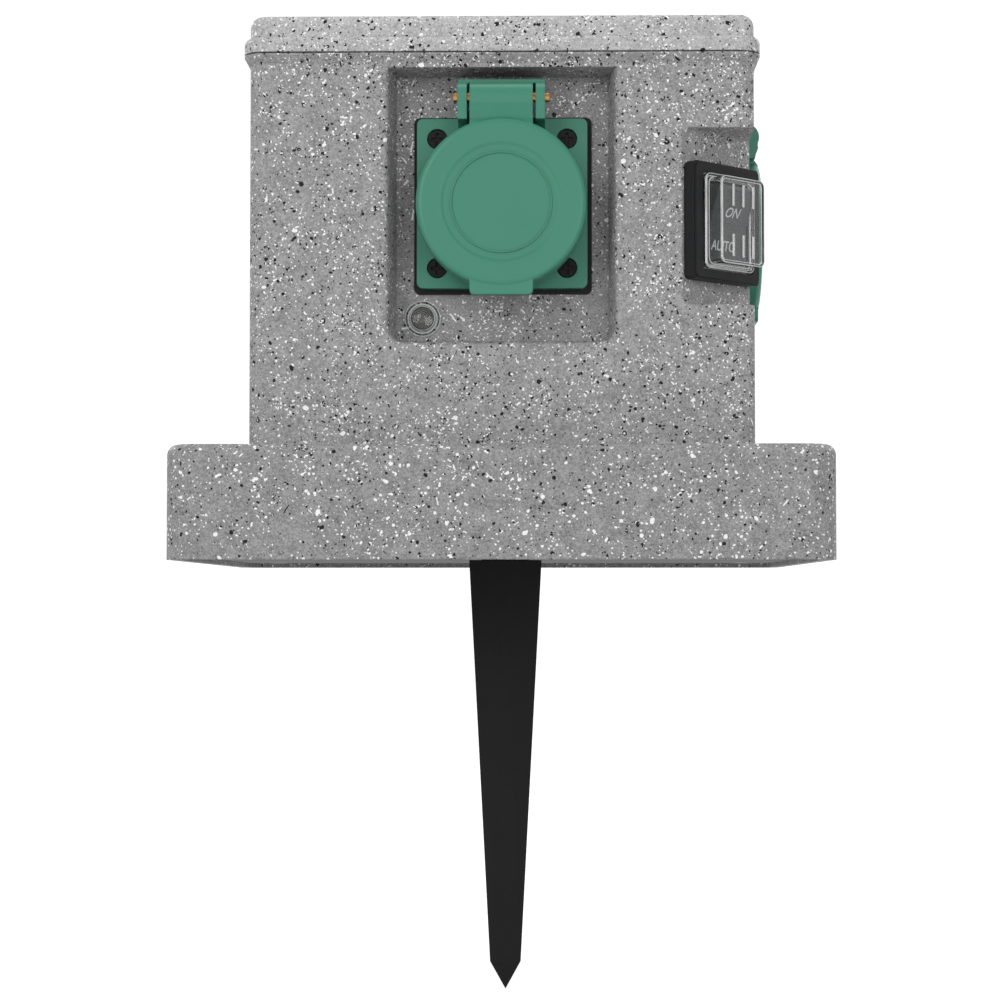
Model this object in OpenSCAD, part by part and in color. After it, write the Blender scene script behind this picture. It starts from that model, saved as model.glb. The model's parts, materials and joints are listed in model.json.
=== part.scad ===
// Garden socket: a stone-look housing with two recessed, lidded sockets, a rocker switch,
// a dusk sensor and a ground spike.
// Frame: +Z up, the front faces -Y, the second socket faces +X.
// The origin is the middle of the foot's underside.

/* [Foot] */
// Width and depth of the square foot
foot_w = 189; // [180:1:196]
// Height of the foot
foot_h = 32.5; // [32:0.5:40]
// Radius of the foot's upright corners
foot_corner_r = 9; // [5:0.5:14]
// Rounding of the foot's upper edge
foot_edge_r = 3; // [1:0.5:4.5]

/* [Body] */
// Width and depth of the square body
body_w = 146.5; // [144:0.5:152]
// Height of the body, from the foot to the lid seam
body_h = 114.3; // [112:0.1:120]
// Radius of the body's upright corners
body_corner_r = 4.5; // [3:0.5:6]
// Wall thickness of the housing and the lid
wall = 3; // [2.6:0.1:3.4]
// Fillet between the foot and the body
body_foot_r = 1.5; // [0.5:0.25:3]
// How far the rim under the lid stands out
rim_out = 1.75; // [1:0.05:2.2]
// Height of the flare that widens the body to its rim
rim_flare_h = 2.3; // [2:0.1:3]
// Height of the straight rim above the flare
rim_h = 0.5; // [0.3:0.1:1]

/* [Top lid] */
// Height of the lid's bead
bead_h = 4.6; // [4:0.1:6]
// Height of the lid above its bead
cap_h = 6.7; // [6:0.1:8]
// Rounding of the lid's upper edge
cap_edge_r = 3.5; // [2:0.25:4]
// Seam between the lid and the housing
seam_gap = 0.4; // [0.2:0.1:0.8]
// Depth of the lip that reaches into the housing
lip_h = 1.5; // [1:0.25:2]
// Thickness of that lip
lip_t = 2; // [1.5:0.1:2.4]
// Width of the lid seal
seal_w = 1.9; // [1.2:0.1:2.2]
// Depth of the rebate that holds the lid seal
seal_depth = 1.5; // [1:0.1:2]
// Radius of the hollow posts that take the lid screws
post_r = 5; // [4.6:0.1:5.5]
// Radius of the screwdriver way inside a post
post_bore_r = 3.4; // [3.2:0.1:3.6]
// Gap between a post and the walls of the recess next to it
post_clear = 1.2; // [0.6:0.1:2.2]
// Distance of the lid screws from the body's front and back
post_in = 7.25; // [7:0.05:8]

/* [Base plate and spike] */
// Thickness of the base plate
plate_t = 2.5; // [2:0.1:3.5]
// How far the base plate lies above the ground
plate_lift = 1.5; // [0.5:0.1:3]
// Distance of the base plate screws from the foot's sides
plate_screw_in = 14; // [12.5:0.25:16]
// Width of the spike where it leaves the foot
spike_top_w = 22.8; // [18:0.1:26]
// Width of the spike where its point begins
spike_end_w = 9.6; // [7:0.1:12]
// Length of the spike below the foot
spike_len = 133.5; // [100:0.5:180]
// Length of the spike's point
spike_point = 9; // [6:0.5:16]
// Thickness of the spike along its ridge
spike_t = 8; // [6:0.25:10]
// Thickness of the spike at its edges
spike_edge_t = 2.4; // [1.6:0.1:3]
// Length of the spike's tang inside the base plate
tang_len = 18; // [14:0.5:19]
// Width of the spike's tang
tang_w = 15; // [12:0.5:17]

/* [Recesses] */
// Depth of a socket's recess
recess_depth = 14.4; // [13.6:0.1:15]
// Width of the recess at its floor
recess_w = 62.4; // [58:0.2:64]
// Height of the recess at its floor
recess_h = 78.2; // [77:0.2:79]
// Distance of the recess's upper end below the rim's flare
recess_down = 1.2; // [0.6:0.1:3]
// Radius of the recess's corners at its floor
recess_corner_r = 3; // [2:0.25:6]
// How far each side wall leans outwards over the depth
recess_draft = 1.6; // [0.5:0.1:2]
// Rounding of the recess's outer edge
recess_edge_r = 1.5; // [0.5:0.1:2]

/* [Socket] */
// Distance of the flange's middle below the recess's upper end
socket_down = 38; // [37.6:0.1:38.6]
// Side length of the square flange
flange_w = 50; // [48:0.2:51]
// Thickness of the flange
flange_t = 3; // [2.5:0.1:3.5]
// Radius of the flange's corners
flange_corner_r = 1.8; // [1:0.1:3]
// Distance from screw to screw along each side of the flange
screw_pitch = 38; // [37:0.1:39]
// Thickness of the gasket behind the flange
gasket_t = 1; // [0.6:0.1:1.4]
// How far the gasket is larger than the flange, on both sides together
gasket_over = 2.2; // [0.4:0.1:2.6]
// How far the well's middle lies below the flange's middle
well_drop = 2.2; // [1.5:0.1:2.4]
// Radius of the well that takes the plug
well_r = 19.6; // [19.3:0.1:19.8]
// Depth of the well
well_depth = 17.5; // [16:0.1:17.8]
// Wall thickness of the well
well_wall = 2; // [1.6:0.1:2.1]
// How far the well's mouth stands in front of the recess floor
mouth_out = 17.2; // [16:0.1:17.4]
// Distance between the two pin holes
pin_pitch = 19; // [18.9:0.05:19.1]
// Radius of a pin hole
pin_hole_r = 2.7; // [2.6:0.05:2.8]
// Depth of a pin hole's front wall
pin_hole_len = 3; // [2.5:0.1:3.5]
// Depth that a plug's pins reach behind the well's floor
pin_depth = 19.2; // [19:0.1:20]

/* [Socket lid] */
// Radius of the lid
lid_r = 24.6; // [24.3:0.1:25]
// Distance of the lid's face from the recess floor
lid_out = 21; // [20.6:0.1:22]
// Depth of the lid's rim
lid_rim_h = 8; // [7.5:0.1:8.3]
// Thickness of the lid's face
lid_face_t = 1.9; // [1.6:0.1:2.4]
// Thickness of the lid's rim
lid_rim_t = 1.9; // [1.5:0.1:2.2]
// Rounding of the lid's outer edge
lid_edge_r = 1.8; // [1:0.1:1.8]
// Inner radius of the raised band on the lid's face
band_r = 17.4; // [16.5:0.1:19]
// Width of the slope on that band's inner side
band_slope = 1.9; // [0.4:0.1:2]
// Radius of the thin ring inside that band
ring_r = 14.7; // [12:0.1:15.5]
// Height of the band and the ring
relief_h = 0.4; // [0.2:0.1:0.6]
// Width of the finger tab
tab_w = 18.2; // [14:0.2:22]
// How far the finger tab reaches below the lid
tab_drop = 2; // [1:0.1:2.4]
// Thickness of the finger tab
tab_t = 3.6; // [2.5:0.1:5]

/* [Hinge] */
// Height of the hinge pin above the flange's middle
hinge_up = 28.7; // [28.4:0.1:29]
// Distance of the hinge pin from the recess floor
hinge_out = 16.5; // [16:0.1:17]
// Radius of the hinge pin
hinge_pin_r = 1.4; // [1.2:0.05:1.5]
// How far the hinge pin stands out of each ear
hinge_pin_out = 1.2; // [0.4:0.1:2]
// Radius of the lid's knuckle
knuckle_r = 4.2; // [3.9:0.1:4.3]
// Width of the lid's arm
arm_w = 18.2; // [17:0.1:19]
// Gap between the arm and an ear
ear_gap = 0.8; // [0.4:0.1:1]
// Thickness of an ear
ear_t = 2.7; // [2:0.1:3.2]
// Height of the bar that joins the ears
bar_t = 1.2; // [0.8:0.1:1.6]
// Depth of that bar
bar_depth = 11; // [8:0.5:11]
// Wire thickness of the lid spring
spring_wire = 0.6; // [0.5:0.05:0.7]
// Turns of the lid spring
spring_turns = 4; // [3:1:4]

/* [Switch] */
// Distance of the facet's edges from the body's corner
facet_leg = 21.2; // [20.6:0.1:22]
// Height of the facet
facet_h = 51.3; // [48:0.1:54]
// Distance of the facet's middle below the lid seam
facet_down = 47.4; // [46.5:0.1:48.5]
// Width of the switch's bezel
bezel_w = 28.8; // [28:0.1:29]
// Height of the switch's bezel
bezel_h = 34.3; // [33:0.1:36]
// Thickness of the switch's bezel
bezel_t = 3.8; // [3.6:0.1:5]
// Width of the clear hood at its foot
hood_w = 21.2; // [20.8:0.1:21.6]
// Height of the clear hood at its foot
hood_h = 27.6; // [27.4:0.1:28]
// How far the hood stands out of its bezel
hood_out = 5.8; // [5.7:0.1:6.4]
// How much narrower the hood is above its step, on each side
hood_step_w = 1.2; // [1:0.1:1.3]
// Wall thickness of the hood
hood_wall = 0.7; // [0.5:0.05:0.8]
// Width of the rocker
rocker_w = 15.4; // [14:0.1:15.6]
// Radius of the rocker's ends around its axle
rocker_end_r = 11.8; // [11.2:0.1:11.9]
// Angle that each half of the rocker leans
rocker_lean = 10; // [7:0.5:10]
// Depth of the switch's body behind the facet
switch_depth = 20; // [18:0.5:24]

/* [Sensor] */
// Distance of the sensor from the flange's middle, to the left
sensor_left = 23.4; // [22.5:0.1:24]
// Distance of the sensor above the recess's lower end
sensor_up = 6.6; // [6:0.1:8]
// Radius of the sensor's bezel ring
sensor_r = 5.25; // [4.8:0.05:5.6]
// Radius of the clear dome
dome_r = 4.2; // [3.8:0.1:4.4]

/* [Cable gland] */
// Distance of the gland from the middle, as seen from behind, to the right
gland_left = 24; // [14:0.5:26]
// Height of the gland's axis above the foot
gland_up = 20; // [17:0.5:30]
// Radius of the way for the cable
gland_bore_r = 4.5; // [4:0.1:4.8]
// Radius of the gland's thread
gland_r = 8; // [7.6:0.1:8.4]

/* [Electronics] */
// Width of the control board
board_w = 80; // [76:1:84]
// Depth of the control board
board_d = 56; // [52:1:58]
// Height of the board's bosses
board_up = 8; // [6:0.5:12]
// Radius of an insulated wire
wire_r = 1.2; // [0.9:0.1:1.25]

/* [Hidden] */

// Fineness of round shapes
$fn = 64;
// Fineness of small round shapes, such as screws and wires
small_fn = 24;
// How far a cut runs past the face that it opens
past = 1;
// Running gap of a pin, an axle or a screw in its hole, all round
fit_gap = 0.05;
// Gap between pieces that stand next to each other
gap = 0.25;

// Levels, from the ground up
seam_z = foot_h + body_h;
lid_z = seam_z + seam_gap;
bead_z = lid_z + bead_h;
top_z = bead_z + cap_h;
lid_roof_z = top_z - wall;
plate_top_z = plate_lift + plate_t;
deck_z = foot_h - wall;
rim_base_z = seam_z - rim_h - rim_flare_h;

// Inside of the body and of the foot
body_in_w = body_w - 2 * wall;
body_in_r = body_corner_r - wall / 2;
foot_in_w = foot_w - 2 * wall;
foot_in_r = foot_corner_r - wall;

// Lid screws: pan-head screws that are driven upwards inside the posts
lid_screw_r = 1.75;
lid_screw_head_r = 3;
lid_screw_head_h = 2.2;
lid_screw_len = 14;
post_web = 3;
post_drop = 3;
post_top_z = rim_base_z - post_drop;
post_seat_z = post_top_z - post_web;
lid_boss_r = 4;
post_x = recess_w / 2 + recess_draft + recess_edge_r + wall + post_clear + post_r;
post_y = body_w / 2 - post_in;
post_places = [for (x = [-1, 1], y = [-1, 1]) [x * post_x, y * post_y]];

// Base plate screws and the bosses that they go into
plate_screw_r = 1.75;
plate_screw_head_r = 3.2;
plate_screw_head_h = 1.1;
plate_screw_len = 12;
plate_boss_r = 4.5;
plate_screw_at = foot_w / 2 - plate_screw_in;
plate_places = [for (x = [-1, 1], y = [-1, 1]) [x * plate_screw_at, y * plate_screw_at]];

// The spike's tang, its holder on the base plate and its screw
tang_t = 5;
holder_wall = 3;
holder_roof = 2.5;
holder_roof_z = plate_lift + tang_len;
spike_screw_r = 2;
spike_screw_head_r = 3.6;
spike_screw_head_h = 2.6;
spike_screw_len = 14;
spike_end_t = spike_t * 0.7;

// Where a socket's parts lie, measured from the recess floor, outwards
recess_top_z = rim_base_z - recess_down;
recess_low_z = recess_top_z - recess_h;
socket_z = recess_top_z - socket_down;
panel_at = body_w / 2 - recess_depth;
flange_out = gasket_t + flange_t;
well_floor_out = mouth_out - well_depth;
well_outer_r = well_r + well_wall;
well_gap = 0.4;
panel_hole_r = well_outer_r + well_gap;
pin_room = 1.2;
cup_back = well_floor_out - pin_depth - pin_room;
cup_lip_t = 1.6;
cup_lip_r = 16;
carrier_r = well_r - gap;
screw_places = [for (x = [-1, 1], y = [-1, 1]) [x * screw_pitch / 2, y * screw_pitch / 2]];
flange_screw_r = 1.6;
flange_screw_head_r = 2.7;
flange_screw_recess_r = 3;
flange_screw_recess = 1.9;
flange_screw_head_h = 1.4;
flange_screw_len = 12;
flange_boss_r = 3.6;
flange_boss_len = 8;
gasket_shift = [0.2, -0.3];

// Contacts: sleeves with a terminal block on their tail
sleeve_r = 3.3;
sleeve_bore_r = 2.45;
sleeve_wall_gap = 0.1;
sleeve_end_t = 0.5;
terminal_w = 6.4;
terminal_len = 6;
terminal_back = cup_back - terminal_len;
terminal_screw_r = 1.25;
terminal_screw_head_r = 2;
terminal_screw_head_h = 1.4;
terminal_screw_reach = 1.6;
wire_hole_r = wire_r + 0.1;
wire_in = 2.5;

// Earth clip: a strip across the carrier with a sprung finger at each end
clip_w = 8;
clip_t = 0.8;
clip_slot_gap = 0.3;
clip_reach = 18.7;
clip_bend = 1.7;
clip_tip_out = well_floor_out + 12.5;
clip_back = well_floor_out - pin_hole_len - well_gap;
clip_room = 0.6;
clip_foot_out = well_floor_out + 1.5;
clip_bend_out = well_floor_out + 7;
clip_tip_in = 0.4;

// Socket lid
lid_seal_t = 1.4;
lid_seal_in_r = well_r + gap;
lid_face_in = lid_out - relief_h - lid_face_t;
lid_back = lid_out - lid_rim_h;
ring_w = 0.6;
ring_h = 0.3;
tab_corner_r = 1.6;
tab_back = lid_out - relief_h - tab_t;
tab_on_lid = 4.2;
tab_h = tab_drop + tab_on_lid;

// Hinge
arm_flat = 2.4;
arm_step = 0.2;
arm_slope = 1.6;
arm_slope_h = 1.2;
arm_root = 3;
arm_lift = 0.6;
ear_in = arm_w / 2 + ear_gap;
ear_outer = ear_in + ear_t;
ear_r = 4.3;
ear_low = 22;
ear_slope = 4;
ear_nose = 3;
bar_gap = 1.1;
bar_low = hinge_up + knuckle_r + bar_gap;
spring_gap = 0.5;
spring_r = hinge_pin_r + spring_wire / 2 + spring_gap;
spring_pitch = spring_wire + spring_gap;
spring_pocket_r = spring_r + spring_wire / 2 + gap;
spring_pocket_w = spring_turns * spring_pitch + spring_wire + 2 * spring_gap;
spring_leg = 6;

// Switch, measured from the facet, outwards
facet_at = (body_w - facet_leg) / sqrt(2);
facet_turn = 45;
facet_z = seam_z - facet_down;
facet_fillet_r = 2;
switch_over_facet = -1.2;
switch_z = facet_z + switch_over_facet;
switch_gasket_t = 0.8;
switch_flange_t = 1.5;
switch_flange_w = 24;
switch_flange_h = 30;
switch_body_w = 21.6;
switch_body_h = 27.6;
switch_room_w = 16.4;
switch_room_h = 2 * (rocker_end_r + gap);
switch_room_depth = 16;
bezel_face = switch_gasket_t + bezel_t;
hood_flange_t = 1;
hood_foot = switch_gasket_t + switch_flange_t + fit_gap;
hood_corner_r = 2;
hood_step_h = 0.9;
hood_rib_w = 0.5;
hood_rib_h = 0.3;
hood_rib_pitch = 4.4;
hood_rib_start = 4.2;
hood_rib_len = 6.2;
hood_face = bezel_face + hood_out;
bezel_corner_r = 1.5;
bezel_step = 0.6;
axle_out = 1;
axle_r = 1.2;
axle_in_wall = 1.4;
rocker_mid_h = 3.6;
rocker_skirt = 3.5;
rocker_hollow_at = rocker_end_r / 2 + 1;
rocker_hollow_w = 5.2;
plunger_r = 1.4;
plunger_guide_r = 3;
plunger_guide_len = 5;
plunger_tip = 11.7;
lever_tilt = 8;
lever_len = 12;
lever_w = 4;
lever_t = 0.7;
lever_out = -11.6;
lever_pivot_r = 1.65;
blade_w = 4.8;
blade_t = 0.8;
blade_len = 7;
blade_pitch = 8.5;
stop_gap = 1.2;
stop_len = 4;

// Sensor, measured from the recess floor, outwards
sensor_at = [-sensor_left, recess_low_z + sensor_up - socket_z];
sensor_stem_r = 3.6;
sensor_stem_len = 9;
sensor_ring_t = 1.4;
sensor_seat_r = dome_r + fit_gap;
sensor_bore_r = 2.7;
sensor_pocket = 0.8;
dome_sink = 0.8;
sensor_seat = 0.6;
sensor_core_r = 3.1;
sensor_core_t = 1.6;
sensor_core_rise = 0.4;
sensor_nut_r = 6.2;
sensor_nut_t = 2.4;
sensor_leg_r = 0.35;
sensor_leg_end = sensor_stem_len + 1;
sensor_leg_pitch = 2.54;

// Cable gland, measured from the body's back, outwards
gland_at = [-gland_left, body_w / 2, foot_h + gland_up];
gland_hex_r = 11;
gland_hex_t = 5;
gland_inside = 11;
gland_neck_r = 7.6;
gland_neck_len = 10;
gland_nut_r = 11;
gland_nut_t = 4;
gland_cap_r = 10.2;
gland_cap_len = 12;
gland_nose_w = 1.8;
gland_nose_step = 0.9;
gland_seal_len = 8;
gland_seal_r = 6.4;
gland_washer_t = 1;

// Control board
board_t = 1.6;
board_at = [-8, 28];
board_z = foot_h + board_up;
board_top_z = board_z + board_t;
board_inset = 4;
board_boss_r = 3.2;
board_screw_r = 1.25;
board_screw_head_r = 2.5;
board_screw_head_h = 1.6;
board_screw_len = 7;
board_places = [for (x = [-1, 1], y = [-1, 1])
    [board_at.x + x * (board_w / 2 - board_inset), board_at.y + y * (board_d / 2 - board_inset)]];
pole_pitch = 5.5;
block_d = 9;
block_h = 12;
pole_hole_up = 5;
block_inset = 14;
block_edge = 1;
screw_well_r = 1.8;
screw_well_depth = 3;
front_block_x = board_at.x - board_w / 2 + block_inset;
front_block_y = board_at.y - board_d / 2 + block_edge;
mains_block_x = front_block_x;
mains_block_y = board_at.y + board_d / 2 - block_edge - block_d;
relay_size = [19, 15.5, 15.5];
relay_at = board_at + [22, 4];
capacitor_size = [18, 8, 14];
capacitor_at = board_at + [-4, 10];
fuse_size = [20, 6, 7];
fuse_at = board_at + [-18, -6];

// A rounded rectangle, in the plane
module round_rect(w, d, r) {
    square([w - 2 * r, d], center = true);
    square([w, d - 2 * r], center = true);
    for (x = [-1, 1], y = [-1, 1])
        translate([x * (w / 2 - r), y * (d / 2 - r)]) circle(r);
}

// A block whose outline is a rounded rectangle and whose wall profile is the children:
// their x is measured outwards from the corners' middles, their y is the height.
module profiled_block(w, d, r, low, high) {
    translate([r - w / 2, r - d / 2, low]) cube([w - 2 * r, d - 2 * r, high - low]);
    for (x = [-1, 1], y = [-1, 1])
        translate([x * (w / 2 - r), y * (d / 2 - r), 0]) rotate_extrude() children();
    for (side = [-1, 1]) {
        mirror([side < 0 ? 1 : 0, 0, 0]) translate([w / 2 - r, 0, 0]) rotate([90, 0, 0])
            linear_extrude(d - 2 * r, center = true) children();
        rotate([0, 0, 90]) mirror([side < 0 ? 1 : 0, 0, 0]) translate([d / 2 - r, 0, 0]) rotate([90, 0, 0])
            linear_extrude(w - 2 * r, center = true) children();
    }
}

// Rings of a tube along a path, and the closed tube through them.
// off_axis is a direction that no path follows.
off_axis = [0.05, 0.21, 1];
function unit(v) = v / norm(v);
function path_way(path, i) = unit(path[min(i + 1, len(path) - 1)] - path[max(i - 1, 0)]);
function ring_points(path, i, r, sides) =
    let (way = path_way(path, i), side = unit(cross(way, off_axis)), up = cross(side, way))
    [for (k = [0:sides - 1]) path[i] + r * (cos(360 * k / sides) * side + sin(360 * k / sides) * up)];

module tube(path, r, sides) {
    rings = len(path);
    points = [for (i = [0:rings - 1]) each ring_points(path, i, r, sides)];
    skin = [for (i = [0:rings - 2], k = [0:sides - 1]) let (j = (k + 1) % sides, a = i * sides)
        each [[a + k, a + j, a + sides + j], [a + k, a + sides + j, a + sides + k]]];
    ends = [for (k = [1:sides - 2]) each [[0, k + 1, k],
        [(rings - 1) * sides, (rings - 1) * sides + k, (rings - 1) * sides + k + 1]]];
    polyhedron(points, concat(skin, ends));
}

// A wire along a list of points, with its bends eased
bend = 2.5;
function eased(points) = [points[0],
    for (i = [1:len(points) - 2]) let (before = points[i - 1] - points[i], after = points[i + 1] - points[i])
        each [points[i] + unit(before) * min(bend, norm(before) / 3), points[i] + unit(after) * min(bend,
            norm(after) / 3)],
    points[len(points) - 1]];
wire_sides = 8;
module wire(points, r) {
    tube(eased(points), r, wire_sides);
}

// Place children on the recess floor of the front (turn 0) or the right side (turn 90).
// There x points right, y points up and z points out of the wall.
module on_panel(turn) {
    rotate([0, 0, turn]) translate([0, -panel_at, socket_z]) rotate([90, 0, 0]) children();
}

// Place children on the middle of the well's axis, in the panel's frame
module at_well() {
    translate([0, -well_drop, 0]) children();
}

// Place children on the corner facet, at the switch's middle
module on_facet(z) {
    rotate([0, 0, facet_turn]) translate([0, -facet_at, z]) rotate([90, 0, 0]) children();
}

// Place children at the cable gland, with z pointing backwards out of the wall
module at_gland() {
    translate(gland_at) rotate([-90, 0, 0]) children();
}

// Housing

module foot_profile() {
    square([foot_corner_r, foot_h - foot_edge_r]);
    square([foot_corner_r - foot_edge_r, foot_h]);
    translate([foot_corner_r - foot_edge_r, foot_h - foot_edge_r]) circle(foot_edge_r);
}

module body_profile() {
    translate([0, foot_h - wall]) square([body_corner_r, seam_z - foot_h + wall]);
    polygon([[0, rim_base_z], [body_corner_r, rim_base_z],
        [body_corner_r + rim_out, rim_base_z + rim_flare_h],
        [body_corner_r + rim_out, seam_z], [0, seam_z]]);
    translate([0, foot_h]) difference() {
        square([body_corner_r + body_foot_r, body_foot_r]);
        translate([body_corner_r + body_foot_r, body_foot_r]) circle(body_foot_r);
    }
}

module body_outside() {
    profiled_block(body_w, body_w, body_corner_r, foot_h - wall, seam_z) body_profile();
}

// The profile of a recess: a leaning wall with a rounded outer edge
module recess_profile() {
    wide = recess_corner_r + recess_draft;
    polygon([[0, 0], [recess_corner_r, 0], [wide, recess_depth], [wide, recess_depth + past],
        [0, recess_depth + past]]);
    difference() {
        translate([0, recess_depth - recess_edge_r])
            square([wide + recess_edge_r, recess_edge_r + past]);
        translate([wide + recess_edge_r, recess_depth - recess_edge_r]) circle(recess_edge_r);
    }
}

// The recess, with a flat top just under the rim
module recess_cut() {
    lean = recess_draft + recess_edge_r;
    tall = recess_h + 2 * lean;
    intersection() {
        translate([0, recess_low_z - socket_z + tall / 2, 0])
            profiled_block(recess_w, tall, recess_corner_r, 0, recess_depth + past) recess_profile();
        translate([-recess_w, recess_low_z - socket_z - 2 * lean, -past])
            cube([2 * recess_w, recess_h + 2 * lean, recess_depth + 3 * past]);
    }
}

// The walls behind a recess
module recess_backing() {
    side = recess_draft + recess_edge_r + wall;
    low_z = recess_low_z - side;
    high_z = min(recess_top_z + wall, lid_z - lip_h) - gap;
    translate([-recess_w / 2 - side, low_z - socket_z, -wall])
        cube([recess_w + 2 * side, high_z - low_z, recess_depth + wall / 2]);
}

module facet_cut() {
    reach = facet_leg * 2;
    rotate([90, 0, 90]) linear_extrude(4 * facet_leg, center = true) {
        translate([-facet_h / 2, facet_fillet_r]) square([facet_h, reach]);
        translate([facet_fillet_r - facet_h / 2, 0]) square([facet_h - 2 * facet_fillet_r, reach]);
        for (end = [-1, 1]) translate([end * (facet_h / 2 - facet_fillet_r), facet_fillet_r])
            circle(facet_fillet_r);
    }
}

module facet_backing() {
    translate([-2 * facet_leg, -facet_h / 2 - wall, -wall])
        cube([4 * facet_leg, facet_h + 2 * wall, 2 * facet_leg]);
}

module socket_holes() {
    at_well() translate([0, 0, -wall - past]) cylinder(h = wall + 2 * past, r = panel_hole_r);
    for (p = screw_places) translate([p.x, p.y, -wall - flange_boss_len - past])
        cylinder(h = wall + flange_boss_len + 2 * past, r = flange_screw_r + fit_gap, $fn = small_fn);
}

module socket_bosses() {
    for (p = screw_places) translate([p.x, p.y, -wall - flange_boss_len])
        cylinder(h = flange_boss_len + wall / 2, r = flange_boss_r, $fn = small_fn);
}

module sensor_hole() {
    translate([sensor_at.x, sensor_at.y, -wall - past])
        cylinder(h = wall + 2 * past, r = sensor_stem_r + fit_gap, $fn = small_fn);
}

module housing_shell() {
    difference() {
        union() {
            profiled_block(foot_w, foot_w, foot_corner_r, 0, foot_h) foot_profile();
            body_outside();
        }
        translate([0, 0, -past]) linear_extrude(deck_z + past) round_rect(foot_in_w, foot_in_w, foot_in_r);
        translate([0, 0, foot_h]) linear_extrude(body_h + past) round_rect(body_in_w, body_in_w, body_in_r);
    }
}

module housing() {
    color("gray") difference() {
        union() {
            housing_shell();
            intersection() {
                translate([0, 0, deck_z]) linear_extrude(seam_z - deck_z)
                    round_rect(body_w - wall, body_w - wall, body_in_r);
                union() {
                    for (turn = [0, 90]) on_panel(turn) recess_backing();
                    on_facet(facet_z) facet_backing();
                    for (p = post_places) translate([p.x, p.y, deck_z])
                        cylinder(h = post_top_z - deck_z, r = post_r);
                }
            }
            for (turn = [0, 90]) on_panel(turn) socket_bosses();
            for (p = plate_places) translate([p.x, p.y, plate_top_z])
                cylinder(h = deck_z + wall / 2 - plate_top_z, r = plate_boss_r, $fn = small_fn);
            for (p = board_places) translate([p.x, p.y, deck_z + wall / 2])
                cylinder(h = board_z - deck_z - wall / 2, r = board_boss_r, $fn = small_fn);
        }
        for (turn = [0, 90]) on_panel(turn) {
            recess_cut();
            socket_holes();
        }
        on_panel(0) sensor_hole();
        on_facet(facet_z) facet_cut();
        on_facet(switch_z)
            translate([-switch_body_w / 2 - fit_gap, -switch_body_h / 2 - fit_gap, -switch_depth - gap])
            cube([switch_body_w + 2 * fit_gap, switch_body_h + 2 * fit_gap, switch_depth + gap + past]);
        for (p = post_places) {
            translate([p.x, p.y, deck_z - past])
                cylinder(h = post_seat_z - deck_z + past, r = post_bore_r, $fn = small_fn);
            translate([p.x, p.y, post_seat_z - past])
                cylinder(h = post_web + 2 * past, r = lid_screw_r + fit_gap, $fn = small_fn);
        }
        for (p = plate_places) translate([p.x, p.y, plate_top_z - past])
            cylinder(h = plate_screw_len + past, r = plate_screw_r + fit_gap, $fn = small_fn);
        for (p = board_places) translate([p.x, p.y, board_z - board_screw_len])
            cylinder(h = board_screw_len + past, r = board_screw_r + fit_gap, $fn = small_fn);
        at_gland() translate([0, 0, -wall - past]) cylinder(h = wall + 2 * past, r = gland_r + fit_gap);
        translate([0, 0, seam_z - seal_depth]) linear_extrude(seal_depth + past)
            round_rect(body_in_w + 2 * seal_w, body_in_w + 2 * seal_w, body_in_r + seal_w);
    }
}

// Top lid and its seal

module lid_profile() {
    out = body_corner_r + rim_out;
    translate([0, lid_z]) square([out, bead_h - rim_out]);
    translate([body_corner_r, bead_z - rim_out]) circle(rim_out);
    translate([0, lid_z]) square([body_corner_r, bead_h + cap_h - cap_edge_r]);
    translate([0, lid_z]) square([body_corner_r - cap_edge_r, bead_h + cap_h]);
    translate([body_corner_r - cap_edge_r, top_z - cap_edge_r]) intersection() {
        circle(cap_edge_r);
        square([cap_edge_r, cap_edge_r]);
    }
}

module top_lid() {
    lip_w = body_in_w - 2 * gap;
    color("silver") difference() {
        union() {
            difference() {
                profiled_block(body_w, body_w, body_corner_r, lid_z, top_z) lid_profile();
                translate([0, 0, lid_z - past]) linear_extrude(lid_roof_z - lid_z + past)
                    round_rect(lip_w - 2 * lip_t, lip_w - 2 * lip_t, body_in_r);
            }
            translate([0, 0, lid_z - lip_h]) linear_extrude(lip_h + past) difference() {
                round_rect(lip_w, lip_w, body_in_r);
                round_rect(lip_w - 2 * lip_t, lip_w - 2 * lip_t, body_in_r);
            }
            for (p = post_places) translate([p.x, p.y, post_top_z + gap])
                cylinder(h = lid_roof_z + wall / 2 - post_top_z - gap, r = lid_boss_r, $fn = small_fn);
        }
        for (p = post_places) translate([p.x, p.y, post_top_z])
            cylinder(h = post_seat_z + lid_screw_len + past / 2 - post_top_z, r = lid_screw_r + fit_gap,
                $fn = small_fn);
    }
}

module lid_seal() {
    outer = body_in_w + 2 * seal_w - 2 * fit_gap;
    inner = body_in_w + 2 * fit_gap;
    color("black") translate([0, 0, seam_z - seal_depth]) linear_extrude(seal_depth + seam_gap) difference() {
        round_rect(outer, outer, body_in_r + seal_w - fit_gap);
        round_rect(inner, inner, body_in_r + fit_gap);
    }
}

module lid_screws() {
    color("silver") for (p = post_places) translate([p.x, p.y, post_seat_z]) {
        cylinder(h = lid_screw_len, r = lid_screw_r, $fn = small_fn);
        translate([0, 0, -lid_screw_head_h]) difference() {
            cylinder(h = lid_screw_head_h, r = lid_screw_head_r, $fn = small_fn);
            drive_cross(lid_screw_head_r, lid_screw_head_h / 2);
        }
    }
}

// A cross for the screwdriver, cut into the lower face of a head
module drive_cross(head_r, depth) {
    width = head_r / 3;
    reach = head_r * 2 / 3;
    for (turn = [0, 90]) rotate([0, 0, turn]) translate([-reach, -width / 2, -past])
        cube([2 * reach, width, depth + past]);
}

// Base plate and spike

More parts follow.
